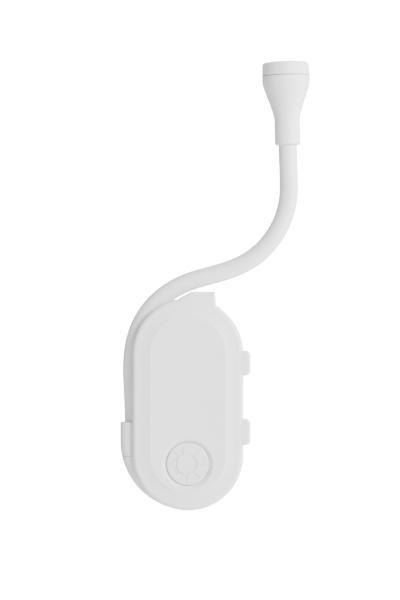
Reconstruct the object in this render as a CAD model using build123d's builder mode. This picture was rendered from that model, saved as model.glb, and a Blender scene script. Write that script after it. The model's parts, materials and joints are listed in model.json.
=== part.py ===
"""Clip-on reading lamp: a spool-shaped body with a spring clip behind it, and a gooseneck that carries a
small torch-like head.

X runs to the right, Y from the front cover towards the clip, and Z up. The origin is the middle of the
rubber pad that the clip presses against. All sizes are in millimetres.
"""

from build123d import *
import math
import os

os.makedirs("parts", exist_ok=True)

# ---------------------------------------------------------------- driving dimensions
# Body: an upright outline with two straight sides and two round ends
body_radius = 20.0  # half the body's width, and the radius of each round end
arc_offset = 18.15  # from the body's centre to the centre of each round end
centre_z = 25.0  # the body's centre above the clip's grip
back_y = -1.0  # the body's back face; the fixed pad stands 1 mm proud of it
body_depth = 16.8  # back face to the edge of the front face
rim_depth = 3.6  # front cover's rim
back_rim_depth = 5.8  # rear shell's rim
core_radius = 15.6  # floor of the groove that stores the neck
wall = 1.5
shell_gap = 0.1  # between the two shells where they meet
crease_radius = 13.5  # the front face is slightly dished inside this outline
crease_height = 0.75  # the crease above the edge of the front face
dish_depth = 0.3  # the middle of the front face below the crease
rim_round = 1.7
back_round = 1.6

# Tabs that keep the stored neck in its groove
tab_reach = 2.5
tab_thickness = 3.3
tab_below = 0.1  # the tabs' front face, behind the edge of the cover's
tab_round = 1.8
tab_edge_round = 1.0
right_tabs_z = ((10.3, 19.35), (-14.7, -5.2))  # lower and upper ends, from the body's centre
top_tab_x = (-3.2, 1.1, 9.7, 10.4)  # foot and top of the left ramp, then top and foot of the right end
top_tab_z = 40.5  # from the body's centre

# Push button
button_radius = 7.65
button_gap = 0.2
button_z = -21.3  # from the body's centre
button_round = 0.5
flange_radius = 8.7
flange_thickness = 0.8
countersink = 1.0
icon_height = 0.3
icon_line = 0.55
bulb_radius = 3.7
bulb_base = (3.3, 2.4)
ray_ends = (4.5, 6.6)
ray_spacing = 45

# Neck: straight, a right-hand arc, straight, a left-hand arc, straight
neck_radius = 3.36
neck_bore = 1.7
spine_radius = 1.6
neck_start = (-19.56, -6.6)  # where the neck leaves its socket, from the body's centre
neck_heading = 91.68  # degrees from +X towards +Z
neck_runs = (  # length or radius, turn to the left, degrees turned
    (20.98, 0, 0),
    (30.44, -1, 75.52),
    (12.54, 0, 0),
    (31.35, 1, 75.4),
    (14.5, 0, 0),
)
bend_first = 9.0  # along the neck from the socket's mouth to the first bend
bend_pitch = 12.5
bend_count = 10
bend_clearance = 0.2
neck_in_socket = 5.6
spine_in_socket = 9.0
spine_reach = 2.6  # of each spine link, past the middle of the ball that ends its sleeve

# Neck socket and the skirt below it, on the lower left of the body
socket_left = -24.45
socket_top = -6.6
skirt_top = -18.9
skirt_radius = 25.0
skirt_centre_z = -13.4
skirt_end = (1.5, -38.1)
socket_half_depth = 4.7
socket_round = 3.2
parting = 0.15

# Head, along its own axis from its lower end
head_length = 29.9
head_sleeve_radius = 4.64
head_sleeve_length = 8.4
head_flare_length = 24.3
head_radius = 8.65
head_foot_round = 0.8
bezel_base = 25.2
bezel_gap = 0.35
bezel_top_radius = 8.4
bezel_round = 1.1
bezel_lip_round = 0.3
bezel_opening = 6.3
head_wall = 1.1
neck_in_head = 5.0
ferrule_length = 3.0
lens_radius = 6.9
lens_base = 27.0
lens_thickness = 1.6
dome_height = 1.0  # of the lens, inside the bezel's opening
led_board_height = 17.6
led_board_radius = 5.4
led_radius = 2.4
led_foot_radius = 2.8
led_foot_height = 1.0
reflector_foot = 2.9
reflector_middle = 5.6
reflector_top = 6.4
reflector_wall = 0.4
skirt_depth = 1.8  # of the bezel, inside the shell
head_wire_shift = 0.7

# Clip
pin_radius = 1.25
pin_y = 5.4
pin_z = 35.0
pin_head_radius = 2.0
running_clearance = 0.05
jaw_half_width = 11.8
jaw_thickness = 2.2
jaw_end_radius = 18.6  # the jaw's lower end follows the body's round end, inside it
jaw_lip = (2.0, 3.3)  # how far the lower end turns back, and over what height
jaw_flange = 1.8
flange_wall = 1.2
rib_count = 6
rib_radius = 0.6
lever_lean = 5.2
lever_length = 25.0  # above the pin
bend_round = 1.5
jaw_window = 5.2  # half the width of the window for the spring
barrel_radius = 2.8
ear_gap = 12.2
ear_thickness = 2.2
ear_radius = 3.2
pad_half_width = 9.0
pad_half_height = 8.0
pad_thickness = 1.4
pad_recess = 0.4
pad_gap = 0.2
spring_wire = 0.45
spring_radius = 2.3
spring_pitch = 1.3
spring_turns = 5.5
spring_leg = 6.2

# Coin cells, circuit board and switch
cell_radius = 10.0
cell_thickness = 3.2
cell_can_radius = 8.9  # the smaller face of each cell
cell_z = 13.0  # from the body's centre
door_radius = 11.6
door_thickness = 0.8
door_tongue_z = 26.4
door_tongue_radius = 3.5
board_radius = 12.5
board_thickness = 1.2
board_below_plate = 4.6
switch_size = 6.0
switch_height = 2.8
plunger_radius = 1.6
screw_radius = 1.0
screw_head_radius = 1.9
screw_head = 1.1
screw_slot = (2.6, 0.4, 0.4)  # length, width and depth
door_grip = 1.6  # width of the slot that opens the battery door
screw_spots = ((8.3, 26.5), (9.8, -12.5))  # of the right-hand housing screws, from the body's centre
boss_radius = 2.0
back_boss_radius = 2.6
boss_meet = 4.5  # where the front and back bosses meet, forward of the back shell's floor
fine_gap = 0.05
wire_radius = 0.4
wire_drop = -16.7  # from the body's centre
wire_bend = 0.7
wire_y = (0.45, 1.3)  # of the two lead wires, back from the middle of the groove
wire_way_radius = 1.5
wire_inside = 5.0  # of the lead wires, past the groove's floor
resistor = (1.6, 3.2, 0.6)
resistor_places = ((-6, -8), (-2, -8), (2, -8))  # from the body's centre
chip = (4.9, 3.9, 1.4)
chip_place = (5, -14)  # from the body's centre
chip_lift = 0.2
chip_lead = (0.4, 1.4, 0.25)
chip_lead_grid = (1.27, 5.2)
strip_width = 4.0
strip_thickness = 0.3
tab_contact_height = 5.0
tab_contact_drop = 4.0  # from the middle of the cells

# ---------------------------------------------------------------- worked out from those
front_y = back_y - body_depth
rim_back_y = front_y + rim_depth
groove_back_y = back_y - back_rim_depth
groove_y = (rim_back_y + groove_back_y) / 2  # the neck lies in this plane
crease_y = front_y - crease_height
dish_y = crease_y + dish_depth
plate_back_y = dish_y + wall
floor_y = back_y - wall
upper_z = centre_z + arc_offset
lower_z = centre_z - arc_offset
rim_start = body_radius - rim_round
inner_radius = core_radius - wall
button_world_z = centre_z + button_z
board_front_y = plate_back_y + board_below_plate
board_back_y = board_front_y + board_thickness
boss_y = floor_y - boss_meet
screw_places = [(side * x, centre_z + z) for x, z in screw_spots for side in (-1, 1)]
neck_length = sum(math.radians(turned) * size if turn else size for size, turn, turned in neck_runs)
bends = [bend_first + bend_pitch * number for number in range(bend_count)]


def facing(y):
    """A plane across Y that looks forward, with local x along X and local y along Z."""
    return Plane(origin=(0, y, 0), x_dir=(1, 0, 0), z_dir=(0, -1, 0))


def outline_solid(edges):
    """The solid that a closed half profile makes as it follows the body's outline all the way round."""
    with BuildPart() as solid:
        for side in (1, -1):
            end_z = centre_z + side * arc_offset
            with BuildSketch(Plane.XY.offset(end_z)):
                with BuildLine():
                    add(edges)
                make_face()
            revolve(axis=Axis((0, 0, end_z), (0, -side, 0)), revolution_arc=180)
        with BuildSketch(Plane.XY.offset(lower_z)):
            with BuildLine():
                add(edges)
            make_face()
            mirror(about=Plane.YZ)
        extrude(amount=2 * arc_offset)
    return solid.part


def rounded_slab(radius, y_front, y_back):
    """A slab with the body's outline, drawn at another radius."""
    with BuildPart() as slab:
        with BuildSketch(facing(y_back)):
            with Locations((0, centre_z)):
                Rectangle(2 * radius, 2 * arc_offset)
            with Locations((0, upper_z), (0, lower_z)):
                Circle(radius)
        extrude(amount=y_back - y_front)
    return slab.part


# ---------------------------------------------------------------- the neck's line
def neck_at(distance):
    """The neck's centreline at a distance from the socket's mouth: x, z and the heading in radians."""
    x, z = neck_start
    heading = math.radians(neck_heading)
    for size, turn, turned in neck_runs:
        run = size * math.radians(turned) if turn else size
        step = min(distance, run)
        if turn:
            new_heading = heading + turn * step / size
            x += turn * size * (math.sin(new_heading) - math.sin(heading))
            z -= turn * size * (math.cos(new_heading) - math.cos(heading))
            heading = new_heading
        else:
            x += step * math.cos(heading)
            z += step * math.sin(heading)
        distance -= step
        if distance <= 0:
            break
    x += distance * math.cos(heading)
    z += distance * math.sin(heading)
    return x, centre_z + z, heading


def neck_point(distance):
    x, z, _ = neck_at(distance)
    return (x, groove_y, z)


def neck_plane(distance):
    """A plane across the neck, facing along it."""
    x, z, heading = neck_at(distance)
    return Plane(origin=(x, groove_y, z), x_dir=(0, 1, 0), z_dir=(math.cos(heading), 0, math.sin(heading)))


def neck_rod(start, end, radius, straight_on=0):
    """A round rod along the neck's line, with a straight length past its end if one is wanted.

    A short piece of a run at either end is drawn as part of the run beside it."""
    stops = [start]
    reached = 0
    for size, turn, turned in neck_runs:
        reached += size * math.radians(turned) if turn else size
        if start + neck_radius + 1 < reached < end - neck_radius - 1:
            stops.append(reached)
    stops.append(end)
    with BuildPart() as rod:
        with BuildLine() as path:
            for here, there in zip(stops, stops[1:]):
                if abs(neck_at(there)[2] - neck_at(here)[2]) < 1e-6:
                    Line(neck_point(here), neck_point(there))
                else:
                    ThreePointArc(neck_point(here), neck_point((here + there) / 2), neck_point(there))
            if straight_on:
                x, z, heading = neck_at(end)
                onward = (x + straight_on * math.cos(heading), groove_y, z + straight_on * math.sin(heading))
                Line(neck_point(end), onward)
        with BuildSketch(neck_plane(start)):
            Circle(radius)
        sweep(path=path.line)
    return rod.part


# ---------------------------------------------------------------- neck socket and skirt
socket_y = (groove_y - socket_half_depth, groove_y + socket_half_depth)
with BuildPart() as horn:
    with BuildSketch(facing(socket_y[1])):
        with BuildLine():
            straight = Line((socket_left, centre_z + socket_top), (socket_left, centre_z + skirt_centre_z))
            round_side = CenterArc(
                (socket_left + skirt_radius, centre_z + skirt_centre_z), skirt_radius, 180, 60
            )
            closing = TangentArc(
                round_side @ 1, (skirt_end[0], centre_z + skirt_end[1]), tangent=round_side % 1
            )
            Polyline(closing @ 1, (skirt_end[0], centre_z + socket_top), straight @ 0)
        make_face()
    extrude(amount=2 * socket_half_depth)
    outer_edges = [
        edge
        for edge in edges()
        if edge.length > 1
        and abs((edge @ 0).Y - (edge @ 1).Y) < fine_gap
        and min((edge @ 0).Z, (edge @ 1).Z) < centre_z + socket_top - 1
        and (edge @ 0.5).X < skirt_end[0] - 1
    ]
    fillet(outer_edges, socket_round)
horn_slab = horn.part
socket_core = rounded_slab(core_radius + fine_gap, socket_y[0] - 1, socket_y[1] + 1)
neck_hole = neck_rod(-spine_in_socket - 2, 3, neck_radius + fine_gap)

with BuildPart() as wire_way:
    way_x = neck_point(-spine_in_socket)[0]
    way_centre = (way_x, groove_y + sum(wire_y) / 2, centre_z + wire_drop)
    with BuildSketch(Plane(origin=way_centre, x_dir=(0, 1, 0), z_dir=(1, 0, 0))):
        Circle(wire_way_radius)
    extrude(amount=-way_x - inner_radius + 3)

with BuildPart() as neck_socket:
    add(horn_slab)
    add(socket_core, mode=Mode.SUBTRACT)
    split(bisect_by=Plane.XY.offset(centre_z + skirt_top + parting), keep=Keep.TOP)
    add(neck_hole, mode=Mode.SUBTRACT)
    add(wire_way.part, mode=Mode.SUBTRACT)
neck_socket.part.label = "neck_socket"
export_step(neck_socket.part, "parts/neck_socket.step")

with BuildPart() as skirt:
    add(horn_slab)
    add(rounded_slab(core_radius - wall / 2, socket_y[0] - 1, socket_y[1] + 1), mode=Mode.SUBTRACT)
    split(bisect_by=Plane.XY.offset(centre_z + skirt_top), keep=Keep.BOTTOM)

# room for the socket and the skirt in the cover's rim, and for the socket in the rear shell's
with BuildPart() as horn_room:
    add(horn_slab)
    offset(amount=fine_gap)

with BuildPart() as socket_room:
    add(horn_room.part)
    split(bisect_by=Plane.XY.offset(centre_z + skirt_top), keep=Keep.TOP)

# ---------------------------------------------------------------- front cover
with BuildLine() as cover_edges:
    ThreePointArc((0, dish_y), (crease_radius / 2, dish_y - dish_depth / 4), (crease_radius, crease_y))
    ThreePointArc(
        (crease_radius, crease_y),
        ((crease_radius + rim_start) / 2, front_y - 0.3 * crease_height),
        (rim_start, front_y),
    )
    ThreePointArc(
        (rim_start, front_y),
        (rim_start + rim_round * math.sin(math.pi / 4), front_y + rim_round * (1 - math.cos(math.pi / 4))),
        (body_radius, front_y + rim_round),
    )
    Polyline(
        (body_radius, front_y + rim_round),
        (body_radius, rim_back_y),
        (core_radius, rim_back_y),
        (core_radius, groove_y - shell_gap / 2),
        (inner_radius, groove_y - shell_gap / 2),
        (inner_radius, plate_back_y),
        (0, plate_back_y),
        (0, dish_y),
    )
cover_body = outline_solid(cover_edges.line)

with BuildPart() as tabs:
    tab_root = rim_start - 1
    tab_end = body_radius + tab_reach
    with BuildSketch(facing(front_y + tab_below + tab_thickness)) as tab_sketch:
        for low, high in right_tabs_z:
            with Locations(((tab_root + tab_end) / 2, centre_z + (low + high) / 2)):
                Rectangle(tab_end - tab_root, high - low)
        fillet(tab_sketch.vertices().group_by(Axis.X)[-1], tab_round)
        foot_left, head_left, head_right, foot_right = top_tab_x
        with BuildLine():
            Polyline(
                (foot_left, upper_z + tab_root),
                (foot_left, upper_z + body_radius),
                (head_left, centre_z + top_tab_z),
                (head_right, centre_z + top_tab_z),
                (foot_right, upper_z + tab_root - 2),
                (foot_left, upper_z + tab_root),
            )
        make_face()
    extrude(amount=tab_thickness)
    fillet(faces().sort_by(Axis.Y)[:3].edges(), tab_edge_round)

button_hole_radius = button_radius + button_gap
with BuildPart() as front_cover:
    add(cover_body)
    add(tabs.part)
    for x, z in screw_places:
        with BuildSketch(facing(boss_y - shell_gap)):
            with Locations((x, z)):
                Circle(boss_radius)
        extrude(until=Until.NEXT)
    with BuildSketch(facing(boss_y)):
        with Locations(*screw_places):
            Circle(screw_radius)
    extrude(amount=boss_y - plate_back_y - 1, mode=Mode.SUBTRACT)
    with BuildSketch(facing(plate_back_y + 1)):
        with Locations((0, button_world_z)):
            Circle(button_hole_radius)
    extrude(amount=body_depth, mode=Mode.SUBTRACT)
    sink_y = crease_y - fine_gap
    with BuildSketch(Plane.XY.offset(button_world_z)):
        with BuildLine():
            Polyline(
                (0, dish_y + countersink),
                (button_hole_radius - fine_gap, dish_y + countersink),
                (button_hole_radius + countersink + dish_y - sink_y, sink_y),
                (0, sink_y),
                (0, dish_y + countersink),
            )
        make_face()
    revolve(axis=Axis((0, 0, button_world_z), (0, 1, 0)), mode=Mode.SUBTRACT)
    add(horn_room.part, mode=Mode.SUBTRACT)
    add(wire_way.part, mode=Mode.SUBTRACT)
front_cover.part.label = "front_cover"
export_step(front_cover.part, "parts/front_cover.step")

# ---------------------------------------------------------------- rear shell
door_z = centre_z + cell_z
tongue_z = centre_z + door_tongue_z
door_recess = door_thickness + fine_gap
with BuildLine() as back_edges:
    back_start = body_radius - back_round
    Line((0, back_y), (back_start, back_y))
    ThreePointArc(
        (back_start, back_y),
        (back_start + back_round * math.sin(math.pi / 4), back_y - back_round * (1 - math.cos(math.pi / 4))),
        (body_radius, back_y - back_round),
    )
    Polyline(
        (body_radius, back_y - back_round),
        (body_radius, groove_back_y),
        (core_radius, groove_back_y),
        (core_radius, groove_y + shell_gap / 2),
        (inner_radius, groove_y + shell_gap / 2),
        (inner_radius, floor_y),
        (0, floor_y),
        (0, back_y),
    )
back_body = outline_solid(back_edges.line)

with BuildPart() as rear_shell:
    add(back_body)
    for x, z in screw_places:
        with BuildSketch(facing(back_y - wall / 2)):
            with Locations((x, z)):
                Circle(back_boss_radius)
        extrude(amount=wall / 2 + boss_meet)
    with BuildSketch(facing(back_y - wall / 2)):
        with Locations((0, tongue_z)):
            Circle(back_boss_radius)
    extrude(amount=wall / 2 + boss_meet)
    for side in (-1, 1):
        with BuildSketch(Plane.YZ.offset(side * (ear_gap + ear_thickness / 2))):
            with Locations((pin_y, pin_z)):
                Circle(ear_radius)
            with BuildLine():
                Polyline(
                    (pin_y, pin_z + ear_radius),
                    (back_y - wall / 2, pin_z + 2 * ear_radius),
                    (back_y - wall / 2, pin_z - 2 * ear_radius),
                    (pin_y, pin_z - ear_radius),
                    (pin_y, pin_z + ear_radius),
                )
            make_face()
        extrude(amount=ear_thickness / 2, both=True)
    add(socket_room.part, mode=Mode.SUBTRACT)
    add(skirt.part)
    add(wire_way.part, mode=Mode.SUBTRACT)
    # the pin's holes
    with BuildSketch(Plane.YZ.offset(-body_radius)):
        with Locations((pin_y, pin_z)):
            Circle(pin_radius)
    extrude(amount=2 * body_radius, mode=Mode.SUBTRACT)
    # the battery door's recess, its opening, and the screw holes
    with BuildSketch(facing(back_y)):
        with Locations((0, door_z)):
            Circle(door_radius + fine_gap)
        with Locations((0, tongue_z)):
            Circle(door_tongue_radius + fine_gap)
        with Locations((0, (door_z + tongue_z) / 2)):
            Rectangle(2 * (door_tongue_radius + fine_gap), tongue_z - door_z)
    extrude(amount=door_recess, mode=Mode.SUBTRACT)
    with BuildSketch(facing(back_y)):
        with Locations((0, door_z)):
            Circle(cell_radius + 2 * button_gap)
    extrude(amount=2 * wall, mode=Mode.SUBTRACT)
    with BuildSketch(facing(back_y)):
        with Locations(*screw_places):
            Circle(screw_head_radius + fine_gap)
    extrude(amount=screw_head + door_thickness, mode=Mode.SUBTRACT)
    with BuildSketch(facing(back_y)):
        with Locations(*screw_places, (0, tongue_z)):
            Circle(screw_radius)
    extrude(amount=2 * wall + 2 * boss_meet, mode=Mode.SUBTRACT)
    # the fixed pad's recess
    with BuildSketch(facing(back_y)):
        RectangleRounded(2 * (pad_half_width + fine_gap), 2 * (pad_half_height + fine_gap), 1)
    extrude(amount=pad_recess, mode=Mode.SUBTRACT)
rear_shell.part.label = "rear_shell"
export_step(rear_shell.part, "parts/rear_shell.step")

with BuildPart() as battery_door:
    with BuildSketch(facing(back_y)):
        with Locations((0, door_z)):
            Circle(door_radius)
        with Locations((0, tongue_z)):
            Circle(door_tongue_radius)
        with Locations((0, (door_z + tongue_z) / 2)):
            Rectangle(2 * door_tongue_radius, tongue_z - door_z)
    extrude(amount=door_thickness)
    with BuildSketch(facing(back_y)):
        with Locations((0, door_z - door_radius / 2)):
            SlotOverall(door_radius, door_grip)
    extrude(amount=door_thickness / 2, mode=Mode.SUBTRACT)
    with BuildSketch(Plane.XY.offset(tongue_z)):
        with BuildLine():
            Polyline(
                (0, back_y + fine_gap),
                (screw_head_radius + 2 * fine_gap, back_y + fine_gap),
                (screw_radius + fine_gap, back_y - door_thickness - fine_gap),
                (0, back_y - door_thickness - fine_gap),
                (0, back_y + fine_gap),
            )
        make_face()
    revolve(axis=Axis((0, 0, tongue_z), (0, 1, 0)), mode=Mode.SUBTRACT)
battery_door.part.label = "battery_door"
export_step(battery_door.part, "parts/battery_door.step")

with BuildPart() as door_screw:
    with BuildSketch(Plane.XY.offset(tongue_z)):
        with BuildLine():
            Polyline(
                (0, back_y),
                (screw_head_radius, back_y),
                (screw_radius - fine_gap, back_y - door_thickness),
                (screw_radius - fine_gap, boss_y),
                (0, boss_y),
                (0, back_y),
            )
        make_face()
    revolve(axis=Axis((0, 0, tongue_z), (0, 1, 0)))
    with BuildSketch(facing(back_y)):
        with Locations((0, tongue_z)):
            Rectangle(screw_slot[0], screw_slot[1])
            Rectangle(screw_slot[1], screw_slot[0])
    extrude(amount=screw_slot[2], mode=Mode.SUBTRACT)
door_screw.part.label = "door_screw"
export_step(door_screw.part, "parts/door_screw.step")

with BuildPart() as housing_screws:
    head_y = back_y - door_thickness
    for x, z in screw_places:
        with BuildSketch(facing(head_y)):
            with Locations((x, z)):
                Circle(screw_head_radius)
        extrude(amount=screw_head)
        with BuildSketch(facing(head_y)):
            with Locations((x, z)):
                Circle(screw_radius - fine_gap)
        extrude(amount=head_y - plate_back_y - 2)
        with BuildSketch(facing(head_y)):
            with Locations((x, z)):
                Rectangle(screw_slot[0], screw_slot[1])
                Rectangle(screw_slot[1], screw_slot[0])
        extrude(amount=screw_slot[2], mode=Mode.SUBTRACT)
housing_screws.part.label = "housing_screws"
export_step(housing_screws.part, "parts/housing_screws.step")

# ---------------------------------------------------------------- push button
button_face_y = dish_y + fine_gap
flange_front_y = plate_back_y + button_gap
flange_back_y = flange_front_y + flange_thickness
with BuildPart() as power_button:
    with BuildSketch(facing(flange_back_y)):
        with Locations((0, button_world_z)):
            Circle(flange_radius)
    extrude(amount=flange_thickness)
    with BuildSketch(facing(flange_back_y)):
        with Locations((0, button_world_z)):
            Circle(button_radius)
    extrude(amount=flange_back_y - button_face_y)
    fillet(edges().sort_by(Axis.Y)[0], button_round)
    # the lamp symbol: a bulb, its base at the top, and rays all round but there
    with BuildSketch(facing(button_face_y + fine_gap)):
        with Locations((0, button_world_z)):
            Circle(bulb_radius + icon_line / 2)
            Circle(bulb_radius - icon_line / 2, mode=Mode.SUBTRACT)
        with Locations((0, button_world_z + bulb_radius + bulb_base[1] / 2)):
            RectangleRounded(*bulb_base, icon_line)
        for number in range(1, 360 // ray_spacing):
            angle = math.radians(90 + number * ray_spacing)
            middle = sum(ray_ends) / 2
            spot = (middle * math.cos(angle), button_world_z + middle * math.sin(angle))
            with Locations(Location((*spot, 0), (0, 0, math.degrees(angle)))):
                SlotOverall(ray_ends[1] - ray_ends[0], icon_line)
    extrude(amount=icon_height + fine_gap)
power_button.part.label = "power_button"
export_step(power_button.part, "parts/power_button.step")

with BuildPart() as switch_plunger:
    with BuildSketch(facing(flange_back_y + fine_gap)):
        with Locations((0, button_world_z)):
            Circle(plunger_radius)
    extrude(amount=-(board_front_y - switch_height - flange_back_y + switch_height / 3))
switch_plunger.part.label = "switch_plunger"
export_step(switch_plunger.part, "parts/switch_plunger.step")

with BuildPart() as tactile_switch:
    with BuildSketch(facing(board_front_y)):
        with Locations((0, button_world_z)):
            RectangleRounded(switch_size, switch_size, 0.4)
    extrude(amount=switch_height)
    with BuildSketch(facing(board_front_y - fine_gap)):
        with GridLocations(switch_size + 1, switch_size * 0.75, 2, 2):
            with Locations((0, button_world_z)):
                Rectangle(1.4, 0.7)
    extrude(amount=0.3)
    with BuildSketch(facing(board_front_y - 0.5)):
        with Locations((0, button_world_z)):
            Circle(plunger_radius + fine_gap)
    extrude(amount=switch_height, mode=Mode.SUBTRACT)
tactile_switch.part.label = "tactile_switch"
export_step(tactile_switch.part, "parts/tactile_switch.step")

# ---------------------------------------------------------------- circuit board, cells and wires
with BuildPart() as circuit_board:
    add(rounded_slab(board_radius, board_front_y, board_back_y))
    with BuildSketch(facing(board_back_y)):
        with Locations(*screw_places):
            Circle(boss_radius + 3 * fine_gap)
        with Locations((0, tongue_z)):
            Circle(boss_radius)
    extrude(amount=board_thickness, mode=Mode.SUBTRACT)
circuit_board.part.label = "circuit_board"
export_step(circuit_board.part, "parts/circuit_board.step")

with BuildPart() as chip_resistors:
    with BuildSketch(facing(board_back_y + resistor[2])):
        with Locations(*[(x, centre_z + z) for x, z in resistor_places]):
            Rectangle(resistor[0], resistor[1])
    extrude(amount=resistor[2])
chip_resistors.part.label = "chip_resistors"
export_step(chip_resistors.part, "parts/chip_resistors.step")

with BuildPart() as driver_chip:
    chip_middle = (chip_place[0], centre_z + chip_place[1])
    with BuildSketch(facing(board_back_y + chip_lift + chip[2])):
        with Locations(chip_middle):
            Rectangle(chip[0], chip[1])
    extrude(amount=chip[2])
    with BuildSketch(facing(board_back_y + chip_lead[2])):
        with Locations(chip_middle):
            with GridLocations(*chip_lead_grid, 4, 2):
                Rectangle(chip_lead[0], chip_lead[1])
    extrude(amount=chip_lead[2])
driver_chip.part.label = "driver_chip"
export_step(driver_chip.part, "parts/driver_chip.step")

first_cell_y = back_y - door_thickness - button_gap
for name, cell_y in (("coin_cell_back", first_cell_y), ("coin_cell_front", first_cell_y - cell_thickness)):
    with BuildPart() as coin_cell:
        with BuildSketch(facing(cell_y)):
            with Locations((0, door_z)):
                Circle(cell_radius)
        extrude(amount=cell_thickness * 0.85)
        fillet(edges().sort_by(Axis.Y)[-1], 0.4)
        with BuildSketch(facing(cell_y - cell_thickness / 2)):
            with Locations((0, door_z)):
                Circle(cell_can_radius)
        extrude(amount=cell_thickness / 2)
    coin_cell.part.label = name
    export_step(coin_cell.part, f"parts/{name}.step")

contact_gap = first_cell_y - 2 * cell_thickness - board_back_y
with BuildPart() as cell_contact_negative:
    with BuildSketch(Plane.YZ.offset(-strip_width / 2)):
        with BuildLine():
            strip = ((0, -8), (0, -5), (contact_gap - 0.35, 1), (contact_gap - 1.1, 5))
            Polyline(
                *[(board_back_y + y, door_z + z) for y, z in strip],
                *[(board_back_y + y + strip_thickness, door_z + z) for y, z in reversed(strip)],
                (board_back_y, door_z - 8),
            )
        make_face()
    extrude(amount=strip_width)
cell_contact_negative.part.label = "cell_contact_negative"
export_step(cell_contact_negative.part, "parts/cell_contact_negative.step")

with BuildPart() as cell_contact_positive:
    with BuildSketch(facing(first_cell_y - 0.5)):
        with Locations((cell_radius + 2 * strip_thickness, door_z - tab_contact_drop)):
            Rectangle(strip_thickness, tab_contact_height)
    extrude(amount=first_cell_y - 0.5 - board_back_y)
cell_contact_positive.part.label = "cell_contact_positive"
export_step(cell_contact_positive.part, "parts/cell_contact_positive.step")

wire_top = neck_point(-spine_in_socket)
wire_z = centre_z + wire_drop
for name, back in (("lead_wire_red", wire_y[0]), ("lead_wire_black", wire_y[1])):
    with BuildPart() as lead_wire:
        start = (wire_top[0], groove_y + back, wire_top[2] - fine_gap)
        corner = wire_bend * (1 - math.cos(math.pi / 4))
        with BuildLine() as wire_line:
            Line(start, (start[0], start[1], wire_z + wire_bend))
            ThreePointArc(
                (start[0], start[1], wire_z + wire_bend),
                (start[0] + corner, start[1], wire_z + corner),
                (start[0] + wire_bend, start[1], wire_z),
            )
            Line((start[0] + wire_bend, start[1], wire_z), (-inner_radius + wire_inside, start[1], wire_z))
        with BuildSketch(Plane.XY.offset(start[2])):
            with Locations((start[0], start[1])):
                Circle(wire_radius)
        sweep(path=wire_line.line)
    lead_wire.part.label = name
    export_step(lead_wire.part, f"parts/{name}.step")

# ---------------------------------------------------------------- neck
with BuildPart() as neck_ferrule:
    with BuildSketch(neck_plane(-spine_in_socket)):
        Circle(neck_radius)
        Circle(spine_radius + fine_gap, mode=Mode.SUBTRACT)
    extrude(amount=spine_in_socket - neck_in_socket - fine_gap)
neck_ferrule.part.label = "neck_ferrule"
export_step(neck_ferrule.part, "parts/neck_ferrule.step")

sleeve_stops = [-neck_in_socket] + bends + [neck_length + neck_in_head]
for number in range(bend_count + 1):
    sleeve_start, sleeve_end = sleeve_stops[number], sleeve_stops[number + 1]
    first = number == 0
    last = number == bend_count
    spine_start = -spine_in_socket if first else sleeve_start
    spine_end = sleeve_end + ferrule_length if last else sleeve_end
    reach = 0 if last else spine_reach
    sleeve_rod = neck_rod(sleeve_start, sleeve_end, neck_radius)
    bore_rod = neck_rod(sleeve_start, sleeve_end, neck_bore, 0 if last else neck_radius + 1)
    spine_rod = neck_rod(spine_start, spine_end, spine_radius, reach)
    with BuildPart() as neck_sleeve:
        add(sleeve_rod)
        if not last:
            with Locations(neck_point(sleeve_end)):
                Sphere(neck_radius - fine_gap / 2)
        add(bore_rod, mode=Mode.SUBTRACT)
        if not first:
            with Locations(neck_point(sleeve_start)):
                Sphere(neck_radius + bend_clearance, mode=Mode.SUBTRACT)
    neck_sleeve.part.label = f"neck_sleeve_{number:02d}"
    export_step(neck_sleeve.part, f"parts/neck_sleeve_{number:02d}.step")
    with BuildPart() as neck_spine:
        add(spine_rod)
        if not first:
            with Locations(neck_point(sleeve_start)):
                Sphere(neck_radius + 2 * bend_clearance, mode=Mode.SUBTRACT)
    neck_spine.part.label = f"neck_spine_{number:02d}"
    export_step(neck_spine.part, f"parts/neck_spine_{number:02d}.step")

# ---------------------------------------------------------------- head
head_x, head_z, head_heading = neck_at(neck_length)
head_section = Plane(
    origin=(head_x, groove_y, head_z),
    x_dir=(math.sin(head_heading), 0, -math.cos(head_heading)),
    z_dir=(0, -1, 0),
)  # local x is across the head, local y along it
head_axis = Axis((head_x, groove_y, head_z), (math.cos(head_heading), 0, math.sin(head_heading)))
cone_steps = (0.0, 0.25, 0.75, 1.0)  # along the flare
cone_share = (0.0, 0.17, 0.85, 1.0)  # of its growth reached there


def flare(inset):
    """Points up the head's side, inset from its outer skin."""
    return [
        (
            head_sleeve_radius - inset + share * (head_radius - head_sleeve_radius),
            head_sleeve_length + step * (head_flare_length - head_sleeve_length),
        )
        for step, share in zip(cone_steps, cone_share)
    ]


with BuildPart() as head_shell:
    outer = flare(0)
    inner = flare(head_wall)
    with BuildSketch(head_section):
        with BuildLine():
            Line((neck_radius + fine_gap, 0), (head_sleeve_radius - head_foot_round, 0))
            RadiusArc(
                (head_sleeve_radius - head_foot_round, 0),
                (head_sleeve_radius, head_foot_round),
                -head_foot_round,
            )
            Line((head_sleeve_radius, head_foot_round), outer[0])
            Spline(*outer, tangents=((0, 1), (0, 1)))
            Polyline(
                outer[-1],
                (head_radius, bezel_base - bezel_gap),
                (head_radius - head_wall, bezel_base - bezel_gap),
                inner[-1],
            )
            Spline(*inner, tangents=((0, 1), (0, 1)))
            Polyline(
                inner[0],
                (inner[0][0], neck_in_head),
                (neck_radius + fine_gap, neck_in_head),
                (neck_radius + fine_gap, 0),
            )
        make_face()
    revolve(axis=head_axis)
head_shell.part.label = "head_shell"
export_step(head_shell.part, "parts/head_shell.step")

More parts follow.
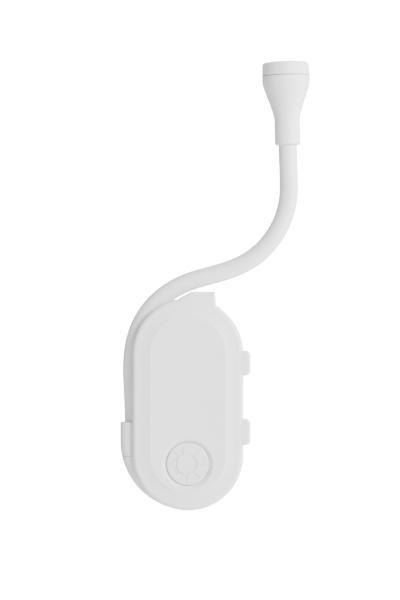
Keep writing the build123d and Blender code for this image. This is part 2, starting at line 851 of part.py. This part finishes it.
with BuildPart() as head_ferrule:
    with BuildSketch(neck_plane(neck_length + neck_in_head + fine_gap)):
        Circle(neck_radius)
        Circle(spine_radius + fine_gap, mode=Mode.SUBTRACT)
    extrude(amount=ferrule_length - fine_gap)
head_ferrule.part.label = "head_ferrule"
export_step(head_ferrule.part, "parts/head_ferrule.step")

skirt_outer = head_radius - head_wall - fine_gap
lens_top = lens_base + lens_thickness
with BuildPart() as lens_bezel:
    with BuildSketch(head_section) as bezel_section:
        with BuildLine():
            Polyline(
                (head_radius, bezel_base),
                (bezel_top_radius, head_length),
                (bezel_opening, head_length),
                (bezel_opening, lens_top),
                (lens_radius + fine_gap, lens_top),
                (lens_radius + fine_gap, bezel_base - skirt_depth),
                (skirt_outer, bezel_base - skirt_depth),
                (skirt_outer, bezel_base),
                (head_radius, bezel_base),
            )
        make_face()
        fillet(bezel_section.vertices().group_by(Axis.Y)[-1].sort_by(Axis.X)[-1], bezel_round)
        fillet(bezel_section.vertices().group_by(Axis.Y)[-1].sort_by(Axis.X)[0], bezel_lip_round)
    revolve(axis=head_axis)
lens_bezel.part.label = "lens_bezel"
export_step(lens_bezel.part, "parts/lens_bezel.step")

with BuildPart() as lens:
    dome_radius = bezel_opening - 0.1
    dome_sphere = (dome_radius**2 + dome_height**2) / (2 * dome_height)
    dome_half_angle = math.asin(dome_radius / dome_sphere) / 2
    dome_foot = lens_top - fine_gap
    dome_centre = dome_foot + dome_height - dome_sphere
    with BuildSketch(head_section):
        with BuildLine():
            Polyline(
                (0, dome_foot + dome_height),
                (0, lens_base),
                (lens_radius, lens_base),
                (lens_radius, dome_foot),
                (dome_radius, dome_foot),
            )
            ThreePointArc(
                (dome_radius, dome_foot),
                (
                    dome_sphere * math.sin(dome_half_angle),
                    dome_centre + dome_sphere * math.cos(dome_half_angle),
                ),
                (0, dome_foot + dome_height),
            )
        make_face()
    revolve(axis=head_axis)
lens.part.label = "lens"
export_step(lens.part, "parts/lens.step")

with BuildPart() as reflector:
    with BuildSketch(head_section):
        with BuildLine():
            cup_foot = led_board_height + board_thickness + fine_gap
            cup_top = lens_base - fine_gap
            cup_middle = (cup_foot + cup_top) / 2 + reflector_wall
            inside = Spline(
                (reflector_foot, cup_foot), (reflector_middle, cup_middle), (reflector_top, cup_top)
            )
            outside = Spline(
                (reflector_top + reflector_wall, cup_top),
                (reflector_middle + reflector_wall, cup_middle),
                (reflector_foot + reflector_wall, cup_foot),
            )
            Line(inside @ 1, outside @ 0)
            Line(outside @ 1, inside @ 0)
        make_face()
    revolve(axis=head_axis)
reflector.part.label = "reflector"
export_step(reflector.part, "parts/reflector.step")

with BuildPart() as led_board:
    with BuildSketch(neck_plane(neck_length + led_board_height)):
        Circle(led_board_radius)
    extrude(amount=board_thickness)
led_board.part.label = "led_board"
export_step(led_board.part, "parts/led_board.step")

with BuildPart() as led:
    led_foot = led_board_height + board_thickness
    with BuildSketch(head_section):
        with BuildLine():
            dome_base = led_foot + led_foot_height
            Polyline(
                (0, led_foot),
                (led_foot_radius, led_foot),
                (led_foot_radius, dome_base),
                (led_radius, dome_base),
            )
            ThreePointArc(
                (led_radius, dome_base),
                (led_radius * math.cos(math.pi / 4), dome_base + led_radius * math.sin(math.pi / 4)),
                (0, dome_base + led_radius),
            )
            Line((0, dome_base + led_radius), (0, led_foot))
        make_face()
    revolve(axis=head_axis)
led.part.label = "led"
export_step(led.part, "parts/led.step")

spine_top = neck_length + neck_in_head + ferrule_length
for name, shift in (("head_wire_red", 1), ("head_wire_black", -1)):
    with BuildPart() as head_wire:
        with BuildSketch(neck_plane(spine_top + fine_gap)):
            with Locations((0, shift * head_wire_shift)):
                Circle(wire_radius)
        extrude(amount=led_board_height - neck_in_head - ferrule_length - 2 * fine_gap)
    head_wire.part.label = name
    export_step(head_wire.part, f"parts/{name}.step")

# ---------------------------------------------------------------- clip
jaw_face_y = pad_gap + pad_thickness - pad_recess
jaw_back_y = jaw_face_y + jaw_thickness
throat_y = pin_y + 0.6
lever_top_z = pin_z + lever_length
lip_top_z = -pad_half_height - 0.9
lip_end_z = lip_top_z - jaw_lip[1]
arm_back = [
    (throat_y + jaw_thickness + lever_lean, lever_top_z),
    (throat_y + jaw_thickness, pin_z + 1),
    (throat_y + jaw_thickness, pad_half_height + 6.8),
    (jaw_back_y, pad_half_height + 0.8),
    (jaw_back_y, lip_top_z),
    (jaw_back_y + jaw_lip[0], lip_end_z),
]
arm_front = [
    (jaw_back_y, lip_end_z - 1.1),
    (jaw_face_y, lip_top_z - 0.6),
    (jaw_face_y, pad_half_height + 1.5),
    (throat_y, pad_half_height + 7.5),
    (throat_y, pin_z - 2),
    (throat_y + lever_lean, lever_top_z),
]
with BuildPart() as clip_jaw:
    with BuildSketch(Plane.YZ) as jaw_side:
        with BuildLine():
            Polyline(*arm_back, *arm_front, arm_back[0])
        make_face()
        fillet(jaw_side.vertices().filter_by(lambda v: lip_end_z + 1 < v.Y < lever_top_z - 1), bend_round)
    extrude(amount=jaw_half_width, both=True)
    # turned-back edges that stiffen the arm
    for side in (-1, 1):
        with BuildSketch(Plane.YZ.offset(side * (jaw_half_width - flange_wall / 2))) as edge_side:
            with BuildLine():
                Polyline(
                    *[(y - jaw_flange / 3, z) for y, z in arm_back],
                    *[(y + jaw_flange, z) for y, z in reversed(arm_back)],
                    (arm_back[0][0] - jaw_flange / 3, arm_back[0][1]),
                )
            make_face()
            inner_corners = edge_side.vertices().filter_by(lambda v: lip_end_z + 1 < v.Y < lever_top_z - 1)
            fillet(inner_corners, bend_round)
        extrude(amount=flange_wall / 2, both=True)
    # grip ribs across the lever
    for number in range(rib_count):
        share = 0.5 + 0.08 * number
        rib_y = throat_y + jaw_thickness + lever_lean * share
        rib_z = pin_z + 1 + (lever_top_z - pin_z - 1) * share
        with BuildSketch(Plane.YZ):
            with Locations((rib_y, rib_z)):
                Circle(rib_radius)
        extrude(amount=jaw_half_width - flange_wall - 1, both=True)
    with BuildSketch(Plane.YZ):
        with Locations((pin_y, pin_z)):
            Circle(barrel_radius)
    extrude(amount=jaw_half_width, both=True)
    with BuildSketch(Plane.YZ):
        with Locations((pin_y + 2, pin_z + 1)):
            Rectangle(barrel_radius * 2 + 6, barrel_radius * 2 + 6)
    extrude(amount=jaw_window, both=True, mode=Mode.SUBTRACT)
    with BuildSketch(Plane.YZ):
        with Locations((pin_y, pin_z)):
            Circle(pin_radius + running_clearance)
    extrude(amount=jaw_half_width + 1, both=True, mode=Mode.SUBTRACT)
    with BuildSketch(Plane.XZ.offset(-jaw_face_y)):
        RectangleRounded(2 * (pad_half_width + fine_gap), 2 * (pad_half_height + fine_gap), 1)
    extrude(amount=-pad_recess, mode=Mode.SUBTRACT)
    # the lower end follows the body's round end
    with BuildSketch(facing(throat_y + 2 * jaw_thickness)):
        with Locations((0, -body_radius)):
            Rectangle(2 * body_radius, 2 * body_radius)
        with Locations((0, lower_z)):
            Circle(jaw_end_radius, mode=Mode.SUBTRACT)
    extrude(amount=body_radius, mode=Mode.SUBTRACT)
clip_jaw.part.label = "clip_jaw"
export_step(clip_jaw.part, "parts/clip_jaw.step")

for name, pad_front_y in (("body_pad", -pad_thickness), ("jaw_pad", pad_gap)):
    with BuildPart() as pad:
        with BuildSketch(facing(pad_front_y + pad_thickness)):
            RectangleRounded(2 * pad_half_width, 2 * pad_half_height, 1)
        extrude(amount=pad_thickness)
    pad.part.label = name
    export_step(pad.part, f"parts/{name}.step")

with BuildPart() as clip_pin:
    pin_end = ear_gap + ear_thickness + 0.1
    with BuildSketch(Plane.YZ.offset(-pin_end)):
        with Locations((pin_y, pin_z)):
            Circle(pin_radius)
    extrude(amount=2 * pin_end)
    for side in (-1, 1):
        with BuildSketch(Plane.YZ.offset(side * (pin_end + 0.4))):
            with Locations((pin_y, pin_z)):
                Circle(pin_head_radius)
        extrude(amount=0.4, both=True)
clip_pin.part.label = "clip_pin"
export_step(clip_pin.part, "parts/clip_pin.step")

with BuildPart() as clip_spring:
    coil_length = spring_pitch * spring_turns
    coil_start = (-coil_length / 2, pin_y, pin_z)
    with BuildLine() as coil:
        helix = Helix(
            spring_pitch, coil_length, spring_radius, coil_start, direction=(1, 0, 0), mode=Mode.PRIVATE
        )
        add(helix.rotate(Axis((0, pin_y, pin_z), (1, 0, 0)), 90))
    with BuildLine() as first_leg:
        Line(coil.line @ 0, (coil.line @ 0) - (coil.line % 0) * spring_leg)
    with BuildLine() as second_leg:
        Line(coil.line @ 1, (coil.line @ 1) + (coil.line % 1) * spring_leg)
    for path in (coil, first_leg, second_leg):
        with BuildSketch(Plane(origin=path.line @ 0, z_dir=path.line % 0)):
            Circle(spring_wire)
        sweep(path=path.line, is_frenet=True)
clip_spring.part.label = "clip_spring"
export_step(clip_spring.part, "parts/clip_spring.step")
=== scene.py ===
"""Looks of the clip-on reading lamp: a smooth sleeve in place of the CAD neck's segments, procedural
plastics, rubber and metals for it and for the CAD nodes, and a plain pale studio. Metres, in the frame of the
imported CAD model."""

import json
import math

import bmesh
import bpy
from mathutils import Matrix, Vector


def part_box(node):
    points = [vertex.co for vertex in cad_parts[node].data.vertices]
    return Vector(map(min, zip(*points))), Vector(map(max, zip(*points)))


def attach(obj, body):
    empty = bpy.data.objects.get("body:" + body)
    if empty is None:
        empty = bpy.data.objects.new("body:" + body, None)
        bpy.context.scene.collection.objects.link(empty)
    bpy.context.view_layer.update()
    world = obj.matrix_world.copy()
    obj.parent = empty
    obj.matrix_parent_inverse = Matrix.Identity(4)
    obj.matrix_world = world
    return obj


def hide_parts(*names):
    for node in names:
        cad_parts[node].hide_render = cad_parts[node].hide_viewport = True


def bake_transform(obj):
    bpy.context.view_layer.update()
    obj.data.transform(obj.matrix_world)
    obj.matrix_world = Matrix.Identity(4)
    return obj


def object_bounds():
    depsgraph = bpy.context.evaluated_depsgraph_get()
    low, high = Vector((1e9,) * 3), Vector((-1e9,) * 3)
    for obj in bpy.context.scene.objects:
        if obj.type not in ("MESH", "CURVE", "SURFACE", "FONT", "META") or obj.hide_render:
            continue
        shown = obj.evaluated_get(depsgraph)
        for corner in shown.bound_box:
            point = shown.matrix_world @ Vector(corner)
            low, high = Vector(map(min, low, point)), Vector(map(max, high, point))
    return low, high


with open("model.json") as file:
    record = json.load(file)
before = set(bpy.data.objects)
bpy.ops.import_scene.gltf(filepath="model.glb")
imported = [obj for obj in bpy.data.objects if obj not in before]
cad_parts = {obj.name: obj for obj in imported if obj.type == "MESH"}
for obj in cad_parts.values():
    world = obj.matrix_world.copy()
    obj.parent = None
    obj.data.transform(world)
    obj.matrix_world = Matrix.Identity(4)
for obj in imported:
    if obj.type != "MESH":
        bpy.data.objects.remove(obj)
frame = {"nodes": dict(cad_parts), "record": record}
cad_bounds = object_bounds()

MM = 0.001
JOINTS = {joint["name"]: joint for joint in frame["record"]["behaviour"]["joints"]}
BENDS = [JOINTS[name] for name in sorted(JOINTS) if name.startswith("neck_bend_")]
SLOTS = {row["node"]: row["material_slot"] for row in frame["record"]["subparts"]}
SMOOTH_ANGLE = math.radians(32)
COLOUR_SCALE = 90  # features per metre, of the change of colour and of gloss over a surface
GLOSS_SCALE = 260
GRAIN_DETAIL = 6.0


def centre_of(node):
    low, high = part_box(node)
    return (Vector(low) + Vector(high)) / 2


def size_of(node):
    low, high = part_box(node)
    return Vector(high) - Vector(low)


# ---------------------------------------------------------------- materials
def new_material(name, roughness, metallic=0.0):
    """A Principled material and its node tree, with its constant values on the shader's own sockets."""
    material = bpy.data.materials.new(name)
    material.use_nodes = True
    tree = material.node_tree
    shader = tree.nodes["Principled BSDF"]
    shader.inputs["Roughness"].default_value = roughness
    shader.inputs["Metallic"].default_value = metallic
    return material, tree, shader


def noise(tree, scale, detail=4.0, stretch=(1, 1, 1)):
    """Noise in the object's own space, in features per metre."""
    place = tree.nodes.new("ShaderNodeTexCoord")
    mapping = tree.nodes.new("ShaderNodeMapping")
    mapping.inputs["Scale"].default_value = stretch
    texture = tree.nodes.new("ShaderNodeTexNoise")
    texture.inputs["Scale"].default_value = scale
    texture.inputs["Detail"].default_value = detail
    tree.links.new(place.outputs["Object"], mapping.inputs["Vector"])
    tree.links.new(mapping.outputs["Vector"], texture.inputs["Vector"])
    return texture.outputs["Fac"]


def ramp(tree, source, low, high):
    """A colour ramp from low to high over the middle stretch of the source."""
    node = tree.nodes.new("ShaderNodeValToRGB")
    node.color_ramp.elements[0].position = 0.35
    node.color_ramp.elements[1].position = 0.65
    node.color_ramp.elements[0].color = (*low, 1)
    node.color_ramp.elements[1].color = (*high, 1)
    tree.links.new(source, node.inputs["Fac"])
    return node.outputs["Color"]


def span(tree, source, low, high):
    """The source, spread over a range of numbers."""
    node = tree.nodes.new("ShaderNodeMapRange")
    node.inputs["To Min"].default_value = low
    node.inputs["To Max"].default_value = high
    tree.links.new(source, node.inputs["Value"])
    return node.outputs["Result"]


def bump(tree, shader, height, depth):
    """Roughens the shader's normal by a height map, depth metres deep."""
    node = tree.nodes.new("ShaderNodeBump")
    node.inputs["Strength"].default_value = 1.0
    node.inputs["Distance"].default_value = depth
    tree.links.new(height, node.inputs["Height"])
    tree.links.new(node.outputs["Normal"], shader.inputs["Normal"])


def textured(name, low, high, roughness, grain, depth, metallic=0.0, stretch=(1, 1, 1)):
    """A finish with a slight change of colour, an uneven gloss and a fine grain."""
    material, tree, shader = new_material(name, sum(roughness) / 2, metallic)
    colour = ramp(tree, noise(tree, COLOUR_SCALE, stretch=stretch), low, high)
    tree.links.new(colour, shader.inputs["Base Color"])
    gloss = span(tree, noise(tree, GLOSS_SCALE, stretch=stretch), *roughness)
    tree.links.new(gloss, shader.inputs["Roughness"])
    bump(tree, shader, noise(tree, grain, GRAIN_DETAIL, stretch), depth)
    return material, tree, shader


def grey(value, cool=0.0):
    """A grey, with its red lowered and its blue raised by the share cool."""
    return (value * (1 - cool), value, value * (1 + cool))


def moulded_plastic(name, value, roughness):
    """Injection-moulded plastic with a fine spark-eroded grain."""
    material, tree, shader = textured(
        name, grey(value - 0.006, 0.002), grey(value + 0.006, 0.001), roughness, 2600, 0.000012
    )
    shader.inputs["Specular IOR Level"].default_value = 0.4
    shader.inputs["Subsurface Weight"].default_value = 0.06
    shader.inputs["Subsurface Radius"].default_value = (0.0012, 0.0011, 0.001)
    return material


def steel(name, value, roughness, stretch=(1, 1, 1)):
    """Bare steel, its fine marks squeezed along any axis that stretch raises."""
    return textured(name, grey(value - 0.04), grey(value + 0.04), roughness, 1500, 0.000006, 1.0, stretch)[0]


MATERIALS = {
    "white_shell": moulded_plastic("white_shell_finish", 0.80, (0.42, 0.50)),
    "white_button": moulded_plastic("white_button_finish", 0.79, (0.38, 0.46)),
    "sleeve_white": moulded_plastic("sleeve_finish", 0.78, (0.46, 0.56)),
    "pad_rubber": textured("pad_rubber_finish", grey(0.40), grey(0.44), (0.75, 0.9), 1800, 0.00004)[0],
    "spine_steel": steel("spine_finish", 0.5, (0.3, 0.45)),
    "screw_steel": steel("screw_finish", 0.62, (0.18, 0.32)),
    "spring_steel": steel("spring_finish", 0.5, (0.2, 0.34)),
    "cell_steel": steel("cell_finish", 0.68, (0.18, 0.3), (1, 1, 6)),
    "switch_steel": steel("switch_finish", 0.6, (0.2, 0.35)),
    "contact_metal": textured(
        "contact_finish", (0.70, 0.58, 0.32), (0.80, 0.68, 0.40), (0.18, 0.3), 1500, 0.000005, 1.0
    )[0],
    "board_green": textured(
        "board_finish", (0.03, 0.20, 0.08), (0.05, 0.27, 0.11), (0.28, 0.4), 1200, 0.00002
    )[0],
    "black_plastic": textured("chip_finish", grey(0.018), grey(0.03), (0.45, 0.6), 2200, 0.00002)[0],
    "red_wire": textured(
        "red_wire_finish", (0.5, 0.02, 0.015), (0.62, 0.03, 0.02), (0.3, 0.4), 900, 0.00001
    )[0],
    "black_wire": textured("black_wire_finish", grey(0.015), grey(0.025), (0.3, 0.4), 900, 0.00001)[0],
    "reflector_mirror": textured(
        "reflector_finish", grey(0.86), grey(0.92), (0.04, 0.1), 700, 0.00002, 1.0
    )[0],
    "led_resin": textured(
        "led_finish", (0.85, 0.74, 0.30), (0.92, 0.84, 0.42), (0.1, 0.18), 500, 0.00001
    )[0],
    "led_board_white": textured("led_board_finish", grey(0.78), grey(0.83), (0.35, 0.5), 1200, 0.00001)[0],
}


def lens_material():
    """Clear moulded acrylic with a faint unevenness."""
    material, tree, shader = new_material("lens_finish", 0.06)
    shader.inputs["Base Color"].default_value = (0.96, 0.98, 0.99, 1)
    shader.inputs["Transmission Weight"].default_value = 0.95
    shader.inputs["IOR"].default_value = 1.49
    tree.links.new(span(tree, noise(tree, 300), 0.03, 0.1), shader.inputs["Roughness"])
    return material


MATERIALS["lens_clear"] = lens_material()
for node_name, node in frame["nodes"].items():
    node.data.materials.clear()
    node.data.materials.append(MATERIALS[SLOTS[node_name]])


# ---------------------------------------------------------------- mesh makers
def mesh_object(name, vertices, faces, slot_name):
    """A closed mesh with smooth shading broken at its sharp edges, in one of the record's materials."""
    mesh = bpy.data.meshes.new(name)
    mesh.from_pydata([tuple(v) for v in vertices], [], faces)
    mesh.validate()
    mesh.shade_smooth()
    mesh.set_sharp_from_angle(angle=SMOOTH_ANGLE)
    mesh.materials.append(MATERIALS[slot_name])
    piece = bpy.data.objects.new(name, mesh)
    bpy.context.collection.objects.link(piece)
    return piece


def face_outward(piece):
    """Turns the faces of a closed mesh outward."""
    work = bmesh.new()
    work.from_mesh(piece.data)
    bmesh.ops.recalc_face_normals(work, faces=work.faces)
    work.to_mesh(piece.data)
    work.free()
    piece.data.set_sharp_from_angle(angle=SMOOTH_ANGLE)


def spline_through(points, per_span):
    """A natural cubic spline through points spaced evenly, sampled per_span times in each span."""
    count = len(points)
    bend = [Vector((0, 0, 0)) for _ in points]
    diagonal = [4.0] * count
    right = [Vector((0, 0, 0))] * count
    for index in range(1, count - 1):
        right[index] = (points[index + 1] - points[index] * 2 + points[index - 1]) * 6
    for index in range(2, count - 1):
        share = 1 / diagonal[index - 1]
        diagonal[index] -= share
        right[index] = right[index] - right[index - 1] * share
    for index in range(count - 2, 0, -1):
        bend[index] = (right[index] - bend[index + 1]) / diagonal[index]
    samples = []
    for index in range(count - 1):
        for step in range(per_span):
            t = step / per_span
            u = 1 - t
            samples.append(
                points[index] * u
                + points[index + 1] * t
                + bend[index] * ((u**3 - u) / 6)
                + bend[index + 1] * ((t**3 - t) / 6)
            )
    samples.append(points[-1].copy())
    return samples


def tube(name, line, outer, inner, slot_name, steps=48):
    """A thick-walled tube along a line that lies in a plane across Y."""
    side = Vector((0, 1, 0))
    vertices = []
    for index, point in enumerate(line):
        ahead = line[min(index + 1, len(line) - 1)] - line[max(index - 1, 0)]
        across = side.cross(ahead.normalized()).normalized()
        for radius in (outer, inner):
            for step in range(steps):
                angle = 2 * math.pi * step / steps
                vertices.append(point + (across * math.cos(angle) + side * math.sin(angle)) * radius)
    faces = []
    row = 2 * steps
    for index in range(len(line) - 1):
        for step in range(steps):
            following = (step + 1) % steps
            here, there = index * row, (index + 1) * row
            faces.append((here + step, here + following, there + following, there + step))
            here, there = here + steps, there + steps
            faces.append((here + following, here + step, there + step, there + following))
    for base, flip in ((0, False), ((len(line) - 1) * row, True)):
        for step in range(steps):
            following = (step + 1) % steps
            ring = (base + step, base + steps + step, base + steps + following, base + following)
            faces.append(ring[::-1] if flip else ring)
    piece = mesh_object(name, vertices, faces, slot_name)
    face_outward(piece)
    return piece


# ---------------------------------------------------------------- neck
NECK_RADIUS = size_of("neck_sleeve_05").y / 2
BORE_CLEARANCE = 0.1 * MM
NECK_BORE = size_of("neck_spine_05").y / 2 + BORE_CLEARANCE
PER_SPAN = 24  # samples of the neck's line from one bend to the next
FOOT_SPANS = 1.5  # how far the sleeve runs down from the first bend, into the socket
bend_points = [Vector(joint["pos_m"]) for joint in BENDS]
spacing = (bend_points[1] - bend_points[0]).length
lens_centre = centre_of("lens")
foot_direction = (bend_points[1] - bend_points[0]).normalized()
head_direction = (lens_centre - bend_points[-1]).normalized()
neck_points = (
    [bend_points[0] - foot_direction * spacing * n for n in (2, 1)]
    + bend_points
    + [bend_points[-1] + head_direction * spacing]
)
neck_line = spline_through(neck_points, PER_SPAN)
first_bend = 2 * PER_SPAN  # the sample at the first bend
half_span = PER_SPAN // 2
chain = ["body"] + [joint["child"] for joint in BENDS]

foot_sample = first_bend - round(PER_SPAN * FOOT_SPANS)
neck_foot = tube(
    "neck_foot", neck_line[foot_sample : first_bend - half_span + 1], NECK_RADIUS, NECK_BORE, "sleeve_white"
)
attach(neck_foot, chain[0])
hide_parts("neck_sleeve_00")
for number in range(len(BENDS)):
    middle = first_bend + number * PER_SPAN
    part = neck_line[middle - half_span : middle + half_span + 1]
    length = tube(f"neck_length_{number + 1:02d}", part, NECK_RADIUS, NECK_BORE, "sleeve_white")
    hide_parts(f"neck_sleeve_{number + 1:02d}")
    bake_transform(length)
top_sample = first_bend + (len(BENDS) - 1) * PER_SPAN + half_span
neck_top = tube("neck_top", neck_line[top_sample:], NECK_RADIUS, NECK_BORE, "sleeve_white")
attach(neck_top, chain[-1])

# ---------------------------------------------------------------- studio
STUDIO_GLOW = 0.8  # the world's strength as a light
BACKGROUND_WHITE = 20.0  # its strength as the camera sees it, plain white
CAMERA_DISTANCE = 0.93
CAMERA_LENS = 155.7
SENSOR_WIDTH = 36
CLIP_START = 0.01
FLOOR_DROP = 290 * MM  # below the lamp, which its clip holds up
FLOOR_RADIUS = 2.0
FLOOR_STEP = 5  # degrees between the corners of the floor's edge
VIEW_SHIFT = Vector((4.34 * MM, 0, 37.5 * MM))  # of the camera's aim, from the middle of the body

cover_front_y = Vector(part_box("front_cover")[0]).y
body_middle = centre_of("circuit_board")  # the board has the body's outline and shares its centre
aim = Vector((body_middle.x, cover_front_y, body_middle.z)) + VIEW_SHIFT
camera_data = bpy.data.cameras.new("camera")
camera_data.lens = CAMERA_LENS
camera_data.sensor_width = SENSOR_WIDTH
camera_data.clip_start = CLIP_START
camera = bpy.data.objects.new("camera", camera_data)
camera.location = aim - Vector((0, CAMERA_DISTANCE, 0))
camera.rotation_euler = (math.pi / 2, 0, 0)
bpy.context.collection.objects.link(camera)
bpy.context.scene.camera = camera


def area_light(name, place, size, power, colour=(1, 1, 1)):
    """A soft square light that looks at the middle of the lamp."""
    data = bpy.data.lights.new(name, "AREA")
    data.energy = power
    data.size = size
    data.color = colour
    light = bpy.data.objects.new(name, data)
    light.location = aim + Vector(place)
    light.rotation_euler = (-Vector(place)).to_track_quat("-Z", "Y").to_euler()
    bpy.context.collection.objects.link(light)


area_light("key", (0.6, -0.7, 0.35), 0.5, 25.0)
area_light("side", (1.0, -0.05, 0.15), 0.5, 16.0)
area_light("fill", (-0.6, -0.8, 0.1), 0.9, 0.8, (0.96, 0.98, 1.0))
area_light("back", (0.3, 0.8, 0.6), 0.8, 6.0)

world = bpy.data.worlds.new("studio")
world.use_nodes = True
sky = world.node_tree
seen = sky.nodes.new("ShaderNodeLightPath")
shine = sky.nodes.new("ShaderNodeMix")
shine.inputs["A"].default_value = STUDIO_GLOW
shine.inputs["B"].default_value = BACKGROUND_WHITE
sky.links.new(seen.outputs["Is Camera Ray"], shine.inputs["Factor"])
sky.links.new(shine.outputs["Result"], sky.nodes["Background"].inputs["Strength"])
sky.nodes["Background"].inputs["Color"].default_value = (1, 1, 1, 1)
bpy.context.scene.world = world

floor_z = cad_bounds[0].z - FLOOR_DROP
floor_mesh = bpy.data.meshes.new("floor")
floor_turns = [math.radians(turn) for turn in range(0, 360, FLOOR_STEP)]
floor_edge = [(FLOOR_RADIUS * math.cos(turn), FLOOR_RADIUS * math.sin(turn), floor_z) for turn in floor_turns]
floor_mesh.from_pydata(floor_edge, [], [tuple(range(len(floor_edge)))])
floor = bpy.data.objects.new("floor", floor_mesh)
bpy.context.collection.objects.link(floor)
floor_finish, floor_tree, floor_shader = new_material("floor_finish", 0.8)
floor_tree.links.new(
    ramp(floor_tree, noise(floor_tree, 3), grey(0.91), grey(0.93)), floor_shader.inputs["Base Color"]
)
floor_mesh.materials.append(floor_finish)
